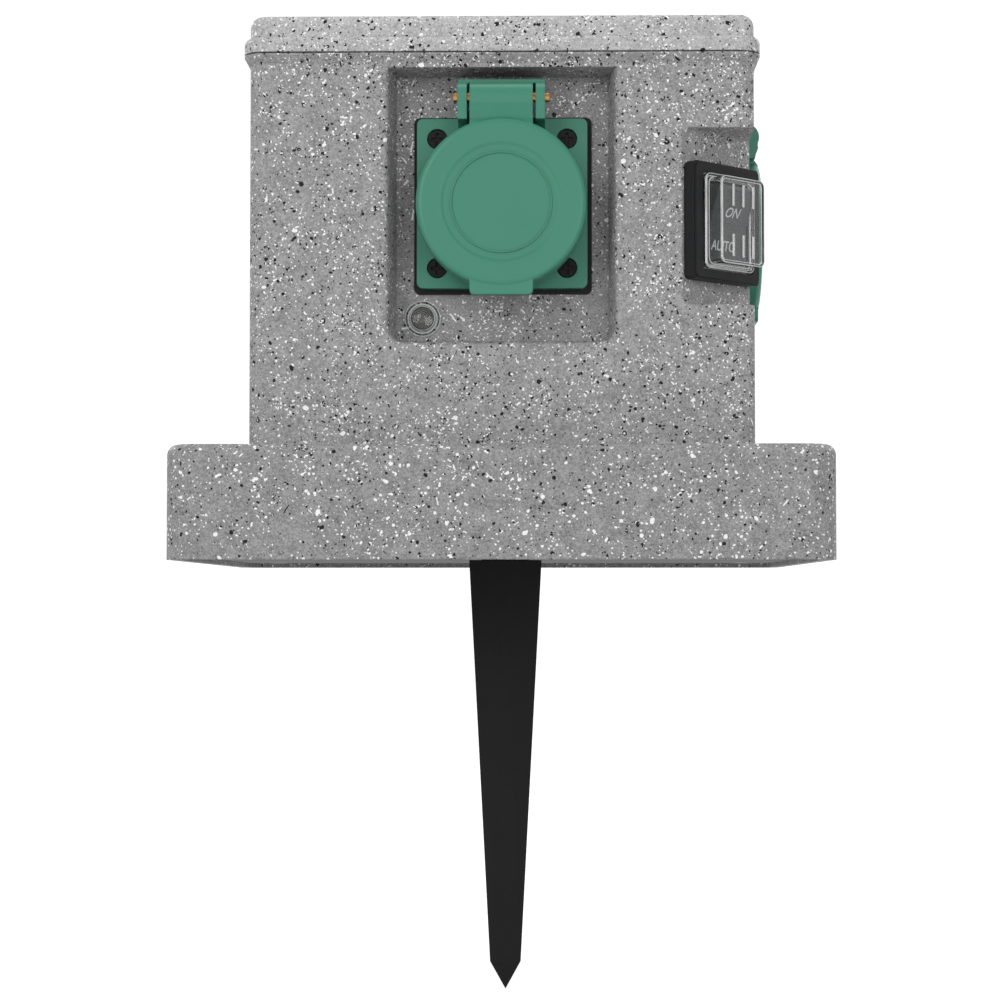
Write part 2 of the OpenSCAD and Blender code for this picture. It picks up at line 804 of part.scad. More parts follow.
module base_plate() {
    size = foot_in_w - 2 * gap;
    holder_w = tang_w + 2 * gap + 2 * holder_wall;
    holder_t = tang_t + 2 * gap + 2 * holder_wall;
    color("dimgray") difference() {
        union() {
            translate([0, 0, plate_lift]) linear_extrude(plate_t) round_rect(size, size, foot_in_r - gap);
            translate([-holder_w / 2, -holder_t / 2, plate_lift])
                cube([holder_w, holder_t, tang_len + gap + holder_roof]);
            for (side = [-1, 1]) translate([side * holder_w / 2 - (side < 0 ? holder_w / 2 : 0),
                -holder_wall / 2, plate_lift]) cube([holder_w / 2, holder_wall, tang_len / 2]);
        }
        translate([-tang_w / 2 - gap, -tang_t / 2 - gap, plate_lift - past])
            cube([tang_w + 2 * gap, tang_t + 2 * gap, tang_len + gap + past]);
        translate([0, 0, holder_roof_z])
            cylinder(h = holder_roof + 2 * past, r = spike_screw_r + fit_gap, $fn = small_fn);
        for (p = plate_places) translate([p.x, p.y, plate_lift - past]) {
            cylinder(h = plate_t + 2 * past, r = plate_screw_r + fit_gap, $fn = small_fn);
            cylinder(h = plate_screw_head_h + past, r = plate_screw_head_r + gap, $fn = small_fn);
        }
    }
}

module base_plate_screws() {
    color("silver") for (p = plate_places) translate([p.x, p.y, plate_lift]) {
        cylinder(h = plate_screw_len, r = plate_screw_r, $fn = small_fn);
        difference() {
            cylinder(h = plate_screw_head_h, r = plate_screw_head_r, $fn = small_fn);
            drive_cross(plate_screw_head_r, plate_screw_head_h / 2);
        }
    }
}

// The spike seen from the front, from its shoulder down to its point
module spike_outline(top, end) {
    polygon([[-top / 2, plate_lift - gap], [-top / 2, 0], [-end / 2, spike_point - spike_len],
        [0, -spike_len], [end / 2, spike_point - spike_len], [top / 2, 0], [top / 2, plate_lift - gap]]);
}

module ground_spike() {
    color("black") difference() {
        union() {
            intersection() {
                rotate([90, 0, 0]) linear_extrude(spike_t * 2, center = true)
                    spike_outline(spike_top_w, spike_end_w);
                rotate([90, 0, 90]) linear_extrude(spike_top_w * 2, center = true)
                    spike_outline(spike_t, spike_end_t);
                translate([0, 0, -spike_len - past]) linear_extrude(spike_len + plate_lift + 2 * past)
                    polygon([[-spike_top_w / 2, -spike_edge_t / 2], [0, -spike_t / 2],
                        [spike_top_w / 2, -spike_edge_t / 2], [spike_top_w / 2, spike_edge_t / 2],
                        [0, spike_t / 2], [-spike_top_w / 2, spike_edge_t / 2]]);
            }
            translate([-tang_w / 2, -tang_t / 2, 0]) cube([tang_w, tang_t, plate_lift + tang_len]);
        }
        translate([0, 0, plate_lift + tang_len - spike_screw_len])
            cylinder(h = spike_screw_len + past, r = spike_screw_r + fit_gap, $fn = small_fn);
    }
}

module spike_screw() {
    seat = plate_lift + tang_len + gap + holder_roof;
    color("silver") {
        translate([0, 0, seat - spike_screw_len]) cylinder(h = spike_screw_len, r = spike_screw_r, $fn = small_fn);
        translate([0, 0, seat]) difference() {
            cylinder(h = spike_screw_head_h, r = spike_screw_head_r, $fn = small_fn);
            translate([0, 0, spike_screw_head_h]) mirror([0, 0, 1])
                drive_cross(spike_screw_head_r, spike_screw_head_h / 2);
        }
    }
}

// Socket: every module here is drawn in the panel's frame

module socket_gasket() {
    size = flange_w + gasket_over;
    color("black") linear_extrude(gasket_t) difference() {
        translate(gasket_shift) round_rect(size, size, flange_corner_r);
        translate([0, -well_drop]) circle(panel_hole_r);
        for (p = screw_places) translate(p) circle(flange_screw_r + gap, $fn = small_fn);
    }
}

// An ear's outline, seen from the side: x is up and y is outwards
module ear_outline() {
    translate([ear_low, gasket_t]) square([hinge_up + ear_r - ear_low, hinge_out - gasket_t]);
    translate([hinge_up, hinge_out]) circle(ear_r);
    translate([bar_low, gasket_t]) square([bar_t, bar_depth - gasket_t]);
    translate([hinge_up, gasket_t]) square([bar_low - hinge_up + bar_t, bar_depth - gasket_t]);
    polygon([[ear_low - ear_slope, gasket_t], [ear_low - ear_slope, flange_out], [ear_low, lid_back - gap],
        [ear_low, hinge_out + ear_nose], [hinge_up, hinge_out + ear_r], [hinge_up, gasket_t]]);
}

module socket_body() {
    color("seagreen") difference() {
        union() {
            translate([0, 0, gasket_t]) linear_extrude(flange_t) round_rect(flange_w, flange_w, flange_corner_r);
            at_well() translate([0, 0, cup_back - cup_lip_t])
                cylinder(h = mouth_out - cup_back + cup_lip_t, r = well_outer_r);
            for (side = [-1, 1]) translate([side * (ear_in + ear_t / 2), 0, 0]) side_slab(ear_t) ear_outline();
            translate([-ear_outer, bar_low, gasket_t]) cube([2 * ear_outer, bar_t, bar_depth - gasket_t]);
        }
        at_well() {
            translate([0, 0, cup_back]) cylinder(h = mouth_out - cup_back + past, r = well_r);
            translate([0, 0, cup_back - cup_lip_t - past]) cylinder(h = cup_lip_t + 2 * past, r = cup_lip_r);
        }
        for (p = screw_places) translate([p.x, p.y, 0]) {
            cylinder(h = flange_out + past, r = flange_screw_r + fit_gap, $fn = small_fn);
            translate([0, 0, flange_out - flange_screw_recess])
                cylinder(h = flange_screw_recess + past, r = flange_screw_recess_r, $fn = small_fn);
        }
        translate([0, hinge_up, hinge_out]) rotate([0, 90, 0])
            cylinder(h = 2 * ear_outer + 2 * past, r = hinge_pin_r + fit_gap, center = true, $fn = small_fn);
    }
}

// A slab across the panel, whose outline has x up and y outwards
module side_slab(width) {
    rotate([90, 0, 90]) linear_extrude(width, center = true) children();
}

module contact_carrier() {
    color("gainsboro") at_well() difference() {
        translate([0, 0, cup_back + fit_gap]) cylinder(h = well_floor_out - cup_back - fit_gap, r = carrier_r);
        for (side = [-1, 1]) translate([side * pin_pitch / 2, 0, 0]) {
            translate([0, 0, well_floor_out - pin_hole_len - past])
                cylinder(h = pin_hole_len + 2 * past, r = pin_hole_r);
            translate([0, 0, cup_back - past]) cylinder(h = well_floor_out - pin_hole_len - cup_back + past,
                r = sleeve_r + sleeve_wall_gap);
        }
        translate([-clip_w / 2 - clip_slot_gap, -carrier_r - past, clip_back - clip_t - clip_slot_gap])
            cube([clip_w + 2 * clip_slot_gap, 2 * carrier_r + 2 * past, clip_t + 2 * clip_slot_gap]);
        for (side = [-1, 1]) translate([-clip_w / 2 - clip_slot_gap,
            side * carrier_r - (side > 0 ? carrier_r - clip_reach + clip_bend + clip_room : past),
                clip_back - clip_slot_gap])
            cube([clip_w + 2 * clip_slot_gap, carrier_r - clip_reach + clip_bend + clip_room + past,
                well_floor_out - clip_back + clip_slot_gap + past]);
        translate([-terminal_w / 2 - clip_slot_gap, -terminal_w / 2 - clip_slot_gap, cup_back - past])
            cube([terminal_w + 2 * clip_slot_gap, terminal_w + 2 * clip_slot_gap,
                clip_back - cup_back + past - clip_t / 2]);
    }
}

// The screw terminal on a contact's tail: the wire goes in from behind
module terminal_tail() {
    difference() {
        translate([-terminal_w / 2, -terminal_w / 2, terminal_back]) cube([terminal_w, terminal_w, terminal_len]);
        translate([0, 0, terminal_back - past]) cylinder(h = wire_in + 2 * past, r = wire_hole_r, $fn = small_fn);
        translate([0, 0, terminal_back + terminal_len / 2]) rotate([-90, 0, 0])
            cylinder(h = terminal_w, r = terminal_screw_r + fit_gap, $fn = small_fn);
    }
}

module pin_contacts() {
    color("goldenrod") at_well() for (side = [-1, 1]) translate([side * pin_pitch / 2, 0, 0]) {
        translate([0, 0, cup_back]) difference() {
            cylinder(h = well_floor_out - pin_hole_len - sleeve_wall_gap - cup_back, r = sleeve_r);
            translate([0, 0, sleeve_end_t]) cylinder(h = pin_depth, r = sleeve_bore_r);
        }
        terminal_tail();
    }
}

// A finger of the earth clip, seen from the side: x is up and y is outwards
module clip_finger() {
    foot = clip_back - clip_t;
    tip = clip_reach - clip_tip_in;
    polygon([[clip_reach - clip_t, foot], [clip_reach, foot], [clip_reach, clip_foot_out],
        [clip_reach - clip_bend, clip_bend_out], [tip, clip_tip_out], [tip - clip_t, clip_tip_out],
        [clip_reach - clip_bend - clip_t, clip_bend_out], [clip_reach - clip_t, clip_foot_out]]);
}

module earth_clip() {
    color("silver") at_well() {
        translate([-clip_w / 2, -clip_reach, clip_back - clip_t]) cube([clip_w, 2 * clip_reach, clip_t]);
        for (side = [0, 1]) mirror([0, side, 0]) side_slab(clip_w) clip_finger();
        translate([-terminal_w / 4, -terminal_w / 4, cup_back - past / 2])
            cube([terminal_w / 2, terminal_w / 2, clip_back - cup_back]);
        terminal_tail();
    }
}

module terminal_screws() {
    color("silver") at_well() for (x = [-pin_pitch / 2, 0, pin_pitch / 2])
        translate([x, terminal_screw_reach, terminal_back + terminal_len / 2]) rotate([-90, 0, 0]) {
            cylinder(h = terminal_w / 2 + fit_gap - terminal_screw_reach, r = terminal_screw_r, $fn = small_fn);
            translate([0, 0, terminal_w / 2 + fit_gap - terminal_screw_reach])
                cylinder(h = terminal_screw_head_h, r = terminal_screw_head_r, $fn = small_fn);
        }
}

module flange_screws() {
    seat = flange_out - flange_screw_recess;
    color("dimgray") for (p = screw_places) translate([p.x, p.y, seat]) {
        translate([0, 0, -flange_screw_len]) cylinder(h = flange_screw_len, r = flange_screw_r, $fn = small_fn);
        difference() {
            cylinder(h = flange_screw_head_h, r = flange_screw_head_r, $fn = small_fn);
            translate([0, 0, flange_screw_head_h]) mirror([0, 0, 1])
                drive_cross(flange_screw_head_r, flange_screw_head_h / 2);
        }
    }
}

module hinge_pin() {
    color("darkgoldenrod") translate([0, hinge_up, hinge_out]) rotate([0, 90, 0])
        cylinder(h = 2 * (ear_outer + hinge_pin_out), r = hinge_pin_r, center = true, $fn = small_fn);
}

// Middle line of the lid spring: a leg to the panel, the turns round the pin, a leg to the lid
spring_steps = 8;
spring_sides = 6;
function spring_turn_point(i) =
    let (a = 90 - 360 * i / spring_steps, along = (i / spring_steps - spring_turns / 2) * spring_pitch)
    [along, hinge_up + spring_r * sin(a), hinge_out + spring_r * cos(a)];
spring_path = [for (i = [0:spring_turns * spring_steps]) spring_turn_point(i)];

module lid_spring() {
    start = spring_path[0];
    end = spring_path[len(spring_path) - 1];
    legs = concat([start + [0, 0, -spring_leg]], spring_path, [end + [0, 0, -spring_leg / 2]]);
    color("silver") tube(legs, spring_wire / 2, spring_sides);
}

// Socket lid, drawn in the panel's frame and closed

// Half section of the round lid: x is the radius, y is outwards
module lid_section() {
    face = lid_out - relief_h;
    difference() {
        union() {
            translate([0, lid_face_in]) square([lid_r - lid_edge_r, face - lid_face_in]);
            translate([lid_r - lid_rim_t, lid_back]) square([lid_rim_t, lid_out - lid_edge_r - lid_back]);
            translate([lid_r - lid_edge_r, lid_out - lid_edge_r]) circle(lid_edge_r);
            polygon([[band_r - band_slope, face - past / 2], [band_r, lid_out], [lid_r - lid_edge_r, lid_out],
                [lid_r - lid_edge_r, face - past / 2]]);
            translate([ring_r - ring_w, face - past / 2]) square([ring_w, ring_h + past / 2]);
        }
        translate([0, lid_back - past]) square([lid_r - lid_rim_t, lid_face_in - lid_back + past]);
    }
}

// The arm seen from the side: x is up and y is outwards
module arm_outline() {
    face = lid_out - relief_h;
    inner = lid_r - lid_rim_t - well_drop;
    top = hinge_out + knuckle_r;
    polygon([[hinge_up, top], [hinge_up - arm_flat, top], [hinge_up - arm_flat - arm_step, top + arm_step],
        [inner + arm_slope, face - arm_slope_h], [inner, face],
        [inner - arm_root, face], [inner - arm_root, lid_face_in + past / 2], [inner + gap, lid_face_in + past / 2],
        [inner + gap, lid_back + arm_lift], [hinge_up - arm_flat, hinge_out - knuckle_r + arm_lift + gap],
        [hinge_up, hinge_out]]);
    translate([hinge_up, hinge_out]) circle(knuckle_r);
}

module socket_lid() {
    color("seagreen") difference() {
        union() {
            at_well() rotate_extrude() lid_section();
            side_slab(arm_w) arm_outline();
            translate([0, -well_drop - lid_r - tab_drop + tab_h / 2, tab_back])
                linear_extrude(tab_t) round_rect(tab_w, tab_h, tab_corner_r);
        }
        translate([0, hinge_up, hinge_out]) rotate([0, 90, 0]) {
            cylinder(h = arm_w + 2 * past, r = hinge_pin_r + 2 * fit_gap, center = true, $fn = small_fn);
            cylinder(h = spring_pocket_w, r = spring_pocket_r, center = true);
        }
        translate([-spring_pocket_w / 2, hinge_up - spring_pocket_r, hinge_out - knuckle_r - past])
            cube([spring_pocket_w, spring_pocket_r + knuckle_r + past, knuckle_r + past]);
        at_well() translate([0, 0, lid_back - past])
            cylinder(h = lid_face_in - lid_back + past, r = lid_r - lid_rim_t);
    }
}

module socket_lid_seal() {
    color("black") at_well() translate([0, 0, lid_face_in - lid_seal_t]) difference() {
        cylinder(h = lid_seal_t, r = lid_r - lid_rim_t - fit_gap);
        translate([0, 0, -past]) cylinder(h = lid_seal_t + 2 * past, r = lid_seal_in_r);
    }
}

// Switch: every module here is drawn in the facet's frame

module switch_gasket() {
    color("black") linear_extrude(switch_gasket_t) difference() {
        round_rect(bezel_w - 2 * gap, bezel_h - 2 * gap, bezel_corner_r);
        square([switch_body_w + 2 * fit_gap, switch_body_h + 2 * fit_gap], center = true);
    }
}

module switch_bezel() {
    color("black") difference() {
        union() {
            translate([0, 0, switch_gasket_t]) linear_extrude(bezel_t - bezel_step)
                round_rect(bezel_w, bezel_h, bezel_corner_r);
            translate([0, 0, switch_gasket_t]) linear_extrude(bezel_t)
                round_rect(bezel_w - 2 * bezel_step, bezel_h - 2 * bezel_step, bezel_corner_r);
        }
        translate([0, 0, switch_gasket_t - past]) linear_extrude(bezel_t + 2 * past)
            square([hood_w + 2 * gap, hood_h + 2 * gap], center = true);
        translate([0, 0, switch_gasket_t - past])
            linear_extrude(hood_foot + hood_flange_t + past + fit_gap - switch_gasket_t)
            square([switch_flange_w + 2 * gap, switch_flange_h + 2 * gap], center = true);
    }
}

// The hood's stepped form, or with a wall and an early start the room inside it
module hood_form(wall, early) {
    translate([0, 0, hood_foot - early])
        linear_extrude(bezel_face + hood_step_h - hood_foot - wall + early)
            round_rect(hood_w - 2 * wall, hood_h - 2 * wall, hood_corner_r - wall);
    translate([0, 0, hood_foot - early]) linear_extrude(hood_face - hood_foot - wall + early)
        round_rect(hood_w - 2 * (hood_step_w + wall), hood_h - 2 * (hood_step_w + wall),
            hood_corner_r - wall);
}

module switch_hood() {
    color("white", 0.4) difference() {
        union() {
            translate([0, 0, hood_foot]) linear_extrude(hood_flange_t)
                square([switch_flange_w, switch_flange_h], center = true);
            hood_form(0, 0);
            for (x = [-1, 0, 1], side = [-1, 1])
                translate([x * hood_rib_pitch, side * (hood_rib_start + hood_rib_len / 2), hood_face])
                    cube([hood_rib_w, hood_rib_len, 2 * hood_rib_h], center = true);
        }
        hood_form(hood_wall, past);
    }
}

module switch_body() {
    color("black") difference() {
        union() {
            translate([0, 0, -switch_depth]) linear_extrude(switch_depth + switch_gasket_t + switch_flange_t)
                square([switch_body_w, switch_body_h], center = true);
            translate([0, 0, switch_gasket_t]) linear_extrude(switch_flange_t)
                square([switch_flange_w, switch_flange_h], center = true);
        }
        translate([0, 0, -switch_room_depth])
            linear_extrude(switch_room_depth + switch_gasket_t + switch_flange_t + past)
            square([switch_room_w, switch_room_h], center = true);
        translate([0, 0, axle_out]) rotate([0, 90, 0])
            cylinder(h = switch_room_w + 2 * axle_in_wall + 2 * fit_gap, r = axle_r + fit_gap, center = true,
                $fn = small_fn);
        for (y = [-1, 0, 1]) translate([-blade_w / 2 - fit_gap, y * blade_pitch - blade_t / 2 - fit_gap,
            -switch_depth - past])
            cube([blade_w + 2 * fit_gap, blade_t + 2 * fit_gap, switch_depth - switch_room_depth + 2 * past]);
    }
}

// The rocker in its middle position, seen from the side: x is up and y is outwards from the axle
module rocker_outline() {
    rise = rocker_end_r * tan(rocker_lean);
    difference() {
        intersection() {
            circle(rocker_end_r);
            polygon([[-rocker_end_r, -rocker_skirt], [-rocker_end_r, rocker_mid_h + rise], [0, rocker_mid_h],
                [rocker_end_r, rocker_mid_h + rise], [rocker_end_r, -rocker_skirt]]);
        }
        for (side = [-1, 1]) translate([side * rocker_hollow_at - rocker_hollow_w / 2, -rocker_skirt - past])
            square([rocker_hollow_w, rocker_skirt + past]);
    }
}

// At rest the lower end is pressed in
module switch_rocker() {
    color("dimgray") translate([0, 0, axle_out]) rotate([rocker_lean, 0, 0]) difference() {
        union() {
            side_slab(rocker_w) rocker_outline();
            rotate([0, 90, 0]) cylinder(h = switch_room_w + 2 * axle_in_wall, r = axle_r, center = true,
                $fn = small_fn);
            translate([0, 0, -plunger_guide_len])
                cylinder(h = plunger_guide_len + past, r = plunger_guide_r, $fn = small_fn);
        }
        translate([0, 0, -plunger_guide_len - past])
            cylinder(h = plunger_guide_len + past, r = plunger_r + fit_gap, $fn = small_fn);
    }
}

module switch_plunger() {
    color("goldenrod") translate([0, 0, axle_out]) rotate([rocker_lean, 0, 0]) {
        translate([0, 0, plunger_r - plunger_tip])
            cylinder(h = plunger_tip - plunger_r - fit_gap, r = plunger_r, $fn = small_fn);
        translate([0, 0, plunger_r - plunger_tip]) sphere(plunger_r, $fn = small_fn);
    }
}

module switch_contact_lever() {
    color("goldenrod") translate([0, 0, lever_out]) rotate([-lever_tilt, 0, 0]) difference() {
        union() {
            translate([-lever_w / 2, -lever_len / 2, 0]) cube([lever_w, lever_len, lever_t]);
            rotate([0, 90, 0]) cylinder(h = lever_w, r = lever_pivot_r, center = true, $fn = small_fn);
        }
        translate([-lever_w, -lever_len / 2 - past, lever_t])
            cube([2 * lever_w, lever_len + 2 * past, lever_pivot_r]);
    }
}

module switch_terminals() {
    cradle_out = lever_out - lever_pivot_r - fit_gap;
    stop_out = lever_out - lever_len / 2 * sin(lever_tilt) - stop_gap;
    color("goldenrod") for (y = [-1, 0, 1]) {
        top = y == 0 ? cradle_out : stop_out;
        translate([-blade_w / 2, y * blade_pitch - blade_t / 2, -switch_depth - blade_len])
            cube([blade_w, blade_t, switch_depth + blade_len + top]);
        if (y != 0) translate([-blade_w / 2, y * blade_pitch - (y > 0 ? stop_len : 0), stop_out - blade_t])
            cube([blade_w, stop_len, blade_t]);
    }
}

// Sensor, drawn in the panel's frame

module at_sensor() {
    translate([sensor_at.x, sensor_at.y, 0]) children();
}

module sensor_bezel() {
    color("black") at_sensor() difference() {
        union() {
            cylinder(h = sensor_ring_t, r = sensor_r);
            translate([0, 0, -sensor_stem_len])
                cylinder(h = sensor_stem_len + past / 2, r = sensor_stem_r, $fn = small_fn);
        }
        translate([0, 0, sensor_ring_t - sensor_seat]) cylinder(h = sensor_seat + past, r = sensor_seat_r);
        translate([0, 0, -sensor_stem_len - past])
            cylinder(h = sensor_stem_len + sensor_ring_t + past, r = sensor_bore_r, $fn = small_fn);
    }
}

module sensor_lens() {
    color("white", 0.4) at_sensor() translate([0, 0, sensor_ring_t - sensor_seat]) difference() {
        union() {
            cylinder(h = sensor_seat, r = dome_r);
            translate([0, 0, sensor_seat]) intersection() {
                translate([0, 0, -dome_sink]) sphere(dome_r);
                cylinder(h = dome_r, r = dome_r);
            }
        }
        translate([0, 0, -past]) cylinder(h = past + sensor_pocket, r = sensor_core_r);
    }
}

module light_sensor() {
    color("saddlebrown") at_sensor() {
        translate([0, 0, sensor_ring_t - sensor_seat - sensor_core_t])
            cylinder(h = sensor_core_t + sensor_core_rise, r = sensor_bore_r - 2 * fit_gap, $fn = small_fn);
        for (side = [-1, 1]) translate([side * sensor_leg_pitch / 2, 0, -sensor_leg_end])
            cylinder(h = sensor_leg_end + sensor_ring_t - sensor_seat - sensor_core_t, r = sensor_leg_r,
                $fn = small_fn);
    }
}

module sensor_nut() {
    color("black") at_sensor() translate([0, 0, -wall - sensor_nut_t]) difference() {
        cylinder(h = sensor_nut_t, r = sensor_nut_r, $fn = 6);
        translate([0, 0, -past]) cylinder(h = sensor_nut_t + 2 * past, r = sensor_stem_r + fit_gap, $fn = small_fn);
    }
}

// Cable gland

module gland_body() {
    color("black") at_gland() difference() {
        union() {
            translate([0, 0, -gland_inside]) cylinder(h = gland_inside + gland_washer_t + past, r = gland_r);
            translate([0, 0, gland_washer_t]) cylinder(h = gland_hex_t, r = gland_hex_r, $fn = 6);
            translate([0, 0, gland_washer_t]) cylinder(h = gland_hex_t + gland_neck_len, r = gland_neck_r);
        }
        translate([0, 0, -gland_inside - past])
            cylinder(h = gland_inside + gland_hex_t + gland_neck_len + 3 * past, r = gland_bore_r);
        translate([0, 0, gland_washer_t + gland_hex_t + gland_neck_len - gland_seal_len])
            cylinder(h = gland_seal_len + past, r = gland_seal_r);
    }
}

module gland_washer() {
    color("dimgray") at_gland() difference() {
        cylinder(h = gland_washer_t, r = gland_hex_r);
        translate([0, 0, -past]) cylinder(h = gland_washer_t + 2 * past, r = gland_r + fit_gap);
    }
}

module gland_locknut() {
    color("black") at_gland() translate([0, 0, -wall - gland_nut_t]) difference() {
        cylinder(h = gland_nut_t, r = gland_nut_r, $fn = 6);
        translate([0, 0, -past]) cylinder(h = gland_nut_t + 2 * past, r = gland_r + fit_gap);
    }
}

module gland_seal() {
    color("dimgray") at_gland() translate([0, 0, gland_washer_t + gland_hex_t + gland_neck_len - gland_seal_len])
        difference() {
        cylinder(h = gland_seal_len, r = gland_seal_r - fit_gap);
        translate([0, 0, -past]) cylinder(h = gland_seal_len + 2 * past, r = gland_bore_r);
    }
}

// The cap nut's outside is a rounded nose with grip flats
module gland_cap_nut() {
    start = gland_washer_t + gland_hex_t + gap;
    roof = gland_washer_t + gland_hex_t + gland_neck_len;
    body_r = gland_cap_r - gland_nose_step;
    nose_r = gland_bore_r + gland_nose_w;
    color("black") at_gland() difference() {
        intersection() {
            union() {
                translate([0, 0, start]) cylinder(h = gland_cap_len / 2, r = gland_hex_r, $fn = 6);
                rotate_extrude() polygon([[0, start], [body_r, start], [body_r, roof - gland_nose_w],
                    [nose_r + gland_nose_step, roof + gland_nose_step], [nose_r, roof + gland_nose_w],
                    [0, roof + gland_nose_w]]);
            }
            cylinder(h = roof + 2 * gland_nose_w, r = gland_cap_r + gap);
        }
        translate([0, 0, start - past]) cylinder(h = roof - start + past + fit_gap, r = gland_neck_r + fit_gap);
        translate([0, 0, start]) cylinder(h = gland_cap_len * 2, r = gland_bore_r);
    }
}

// Electronics

module control_board() {
    color("darkgreen") difference() {
        translate([board_at.x - board_w / 2, board_at.y - board_d / 2, board_z]) cube([board_w, board_d, board_t]);
        for (p = board_places) translate([p.x, p.y, board_z - past])
            cylinder(h = board_t + 2 * past, r = board_screw_r + fit_gap, $fn = small_fn);
    }
}

module board_screws() {
    color("silver") for (p = board_places) translate([p.x, p.y, board_top_z]) {
        translate([0, 0, fit_gap - board_screw_len])
            cylinder(h = board_screw_len - fit_gap, r = board_screw_r, $fn = small_fn);
        difference() {
            cylinder(h = board_screw_head_h, r = board_screw_head_r, $fn = small_fn);
            translate([0, 0, board_screw_head_h]) mirror([0, 0, 1])
                drive_cross(board_screw_head_r, board_screw_head_h / 2);
        }
    }
}

// A box-shaped part that stands on the board
module board_part(at, size) {
    translate([at.x - size.x / 2, at.y - size.y / 2, board_top_z]) cube(size);
}

module relay() {
    color("royalblue") board_part(relay_at, relay_size);
}

module capacitor() {
    color("gold") board_part(capacitor_at, capacitor_size);
}

module fuse() {
    color("ivory") board_part(fuse_at, fuse_size);
}

// Middle of a pole of the terminal block that serves the sockets
function pole_x(i) = front_block_x + (i + 0.5) * pole_pitch;
socket_poles = 10;
mains_poles = 3;

// A row of screw terminals; way is -1 where the wires go in from the front, 1 from the back
module terminal_row(x, y, poles, way) {
    mouth = way < 0 ? y - past : y + block_d / 2;
    difference() {
        translate([x, y, board_top_z]) cube([poles * pole_pitch, block_d, block_h]);
        for (i = [0:poles - 1]) translate([x + (i + 0.5) * pole_pitch, 0, board_top_z]) {
            translate([0, mouth, pole_hole_up]) rotate([-90, 0, 0])
                cylinder(h = block_d / 2 + past, r = wire_hole_r, $fn = small_fn);
            translate([0, y + block_d / 2, block_h - screw_well_depth])
                cylinder(h = screw_well_depth + past, r = screw_well_r, $fn = small_fn);
        }
    }
}

module socket_terminal_block() {
    color("limegreen") terminal_row(front_block_x, front_block_y, socket_poles, -1);
}

module mains_terminal_block() {
    color("limegreen") terminal_row(mains_block_x, mains_block_y, mains_poles, 1);
}

// Wires: each runs from a pole of the block, up, and into a terminal's tail
pole_z = board_top_z + pole_hole_up;
pole_y = front_block_y + wire_in;
tail_z = socket_z - well_drop;
tail_at = panel_at + terminal_back;
riser_z = tail_z - 14;
wire_lead = 5;

// How each socket wire leaves its pole: straight out, then up
function wire_start(i) = [[pole_x(i), pole_y, pole_z], [pole_x(i), front_block_y - wire_lead, pole_z],
    [pole_x(i), front_block_y - 1.6 * wire_lead, pole_z + wire_lead]];

// A wire to the front socket: x is the terminal's place, i the pole
function front_wire(i, x) = concat(wire_start(i), [[x, 2.4 * wire_lead - tail_at, riser_z],
    [x, 1.2 * wire_lead - tail_at, tail_z], [x, -wire_in - tail_at, tail_z]]);

// A wire to the side socket: y is the terminal's place, i the pole
function side_wire(i, y) = concat(wire_start(i), [[tail_at - 2.4 * wire_lead, y, riser_z],
    [tail_at - 1.2 * wire_lead, y, tail_z], [tail_at + wire_in, y, tail_z]]);

module live_wires() {
    color("saddlebrown") {
        wire(front_wire(0, -pin_pitch / 2), wire_r);
        wire(side_wire(5, -pin_pitch / 2), wire_r);
    }
}

module earth_wires() {
    color("yellowgreen") {
        wire(front_wire(1, 0), wire_r);
        wire(side_wire(4, 0), wire_r);
    }
}

module neutral_wires() {
    color("royalblue") {
        wire(front_wire(2, pin_pitch / 2), wire_r);
        wire(side_wire(3, pin_pitch / 2), wire_r);
    }
}

// Place of a point of the facet's frame in the part's frame
function facet_point(y, out, across) = let (reach = facet_at + out)
    [reach * sin(facet_turn) + across * cos(facet_turn),
        -reach * cos(facet_turn) + across * sin(facet_turn), switch_z + y];

// A wire to a blade of the switch: y is the blade's place, across keeps the wires apart
switch_wire_drop = 30;
switch_wire_back = switch_depth + blade_len;
function switch_wire(i, y, across) = [[pole_x(i), pole_y, pole_z], [pole_x(i), front_block_y - wire_lead, pole_z],
    facet_point(-switch_wire_drop, -switch_wire_back - 2 * wire_lead, across),
    facet_point(y, -switch_wire_back - wire_lead, 0), facet_point(y, -switch_wire_back - fit_gap, 0)];

module switch_wires() {
    color("dimgray") {
        wire(switch_wire(8, 0, -wire_lead), wire_r);
        wire(switch_wire(9, -blade_pitch, wire_lead), wire_r);
    }
}

// A wire from a leg of the light sensor to the board, beside the terminal block
function sensor_wire(side) =
    let (x = sensor_at.x + side * sensor_leg_pitch / 2,
        end_x = front_block_x - wire_lead + side * sensor_leg_pitch / 2,
        z = socket_z + sensor_at.y, back = sensor_leg_end + fit_gap - panel_at, end_y = front_block_y + wire_lead)
    [[x, back, z], [x, back + wire_lead, z], [end_x, front_block_y - wire_lead, z - 2 * wire_lead],
        [end_x, end_y, pole_z + wire_lead], [end_x, end_y, board_top_z]];

module sensor_wires() {
    color("white") for (side = [-1, 1]) wire(sensor_wire(side), wire_r / 2);
}

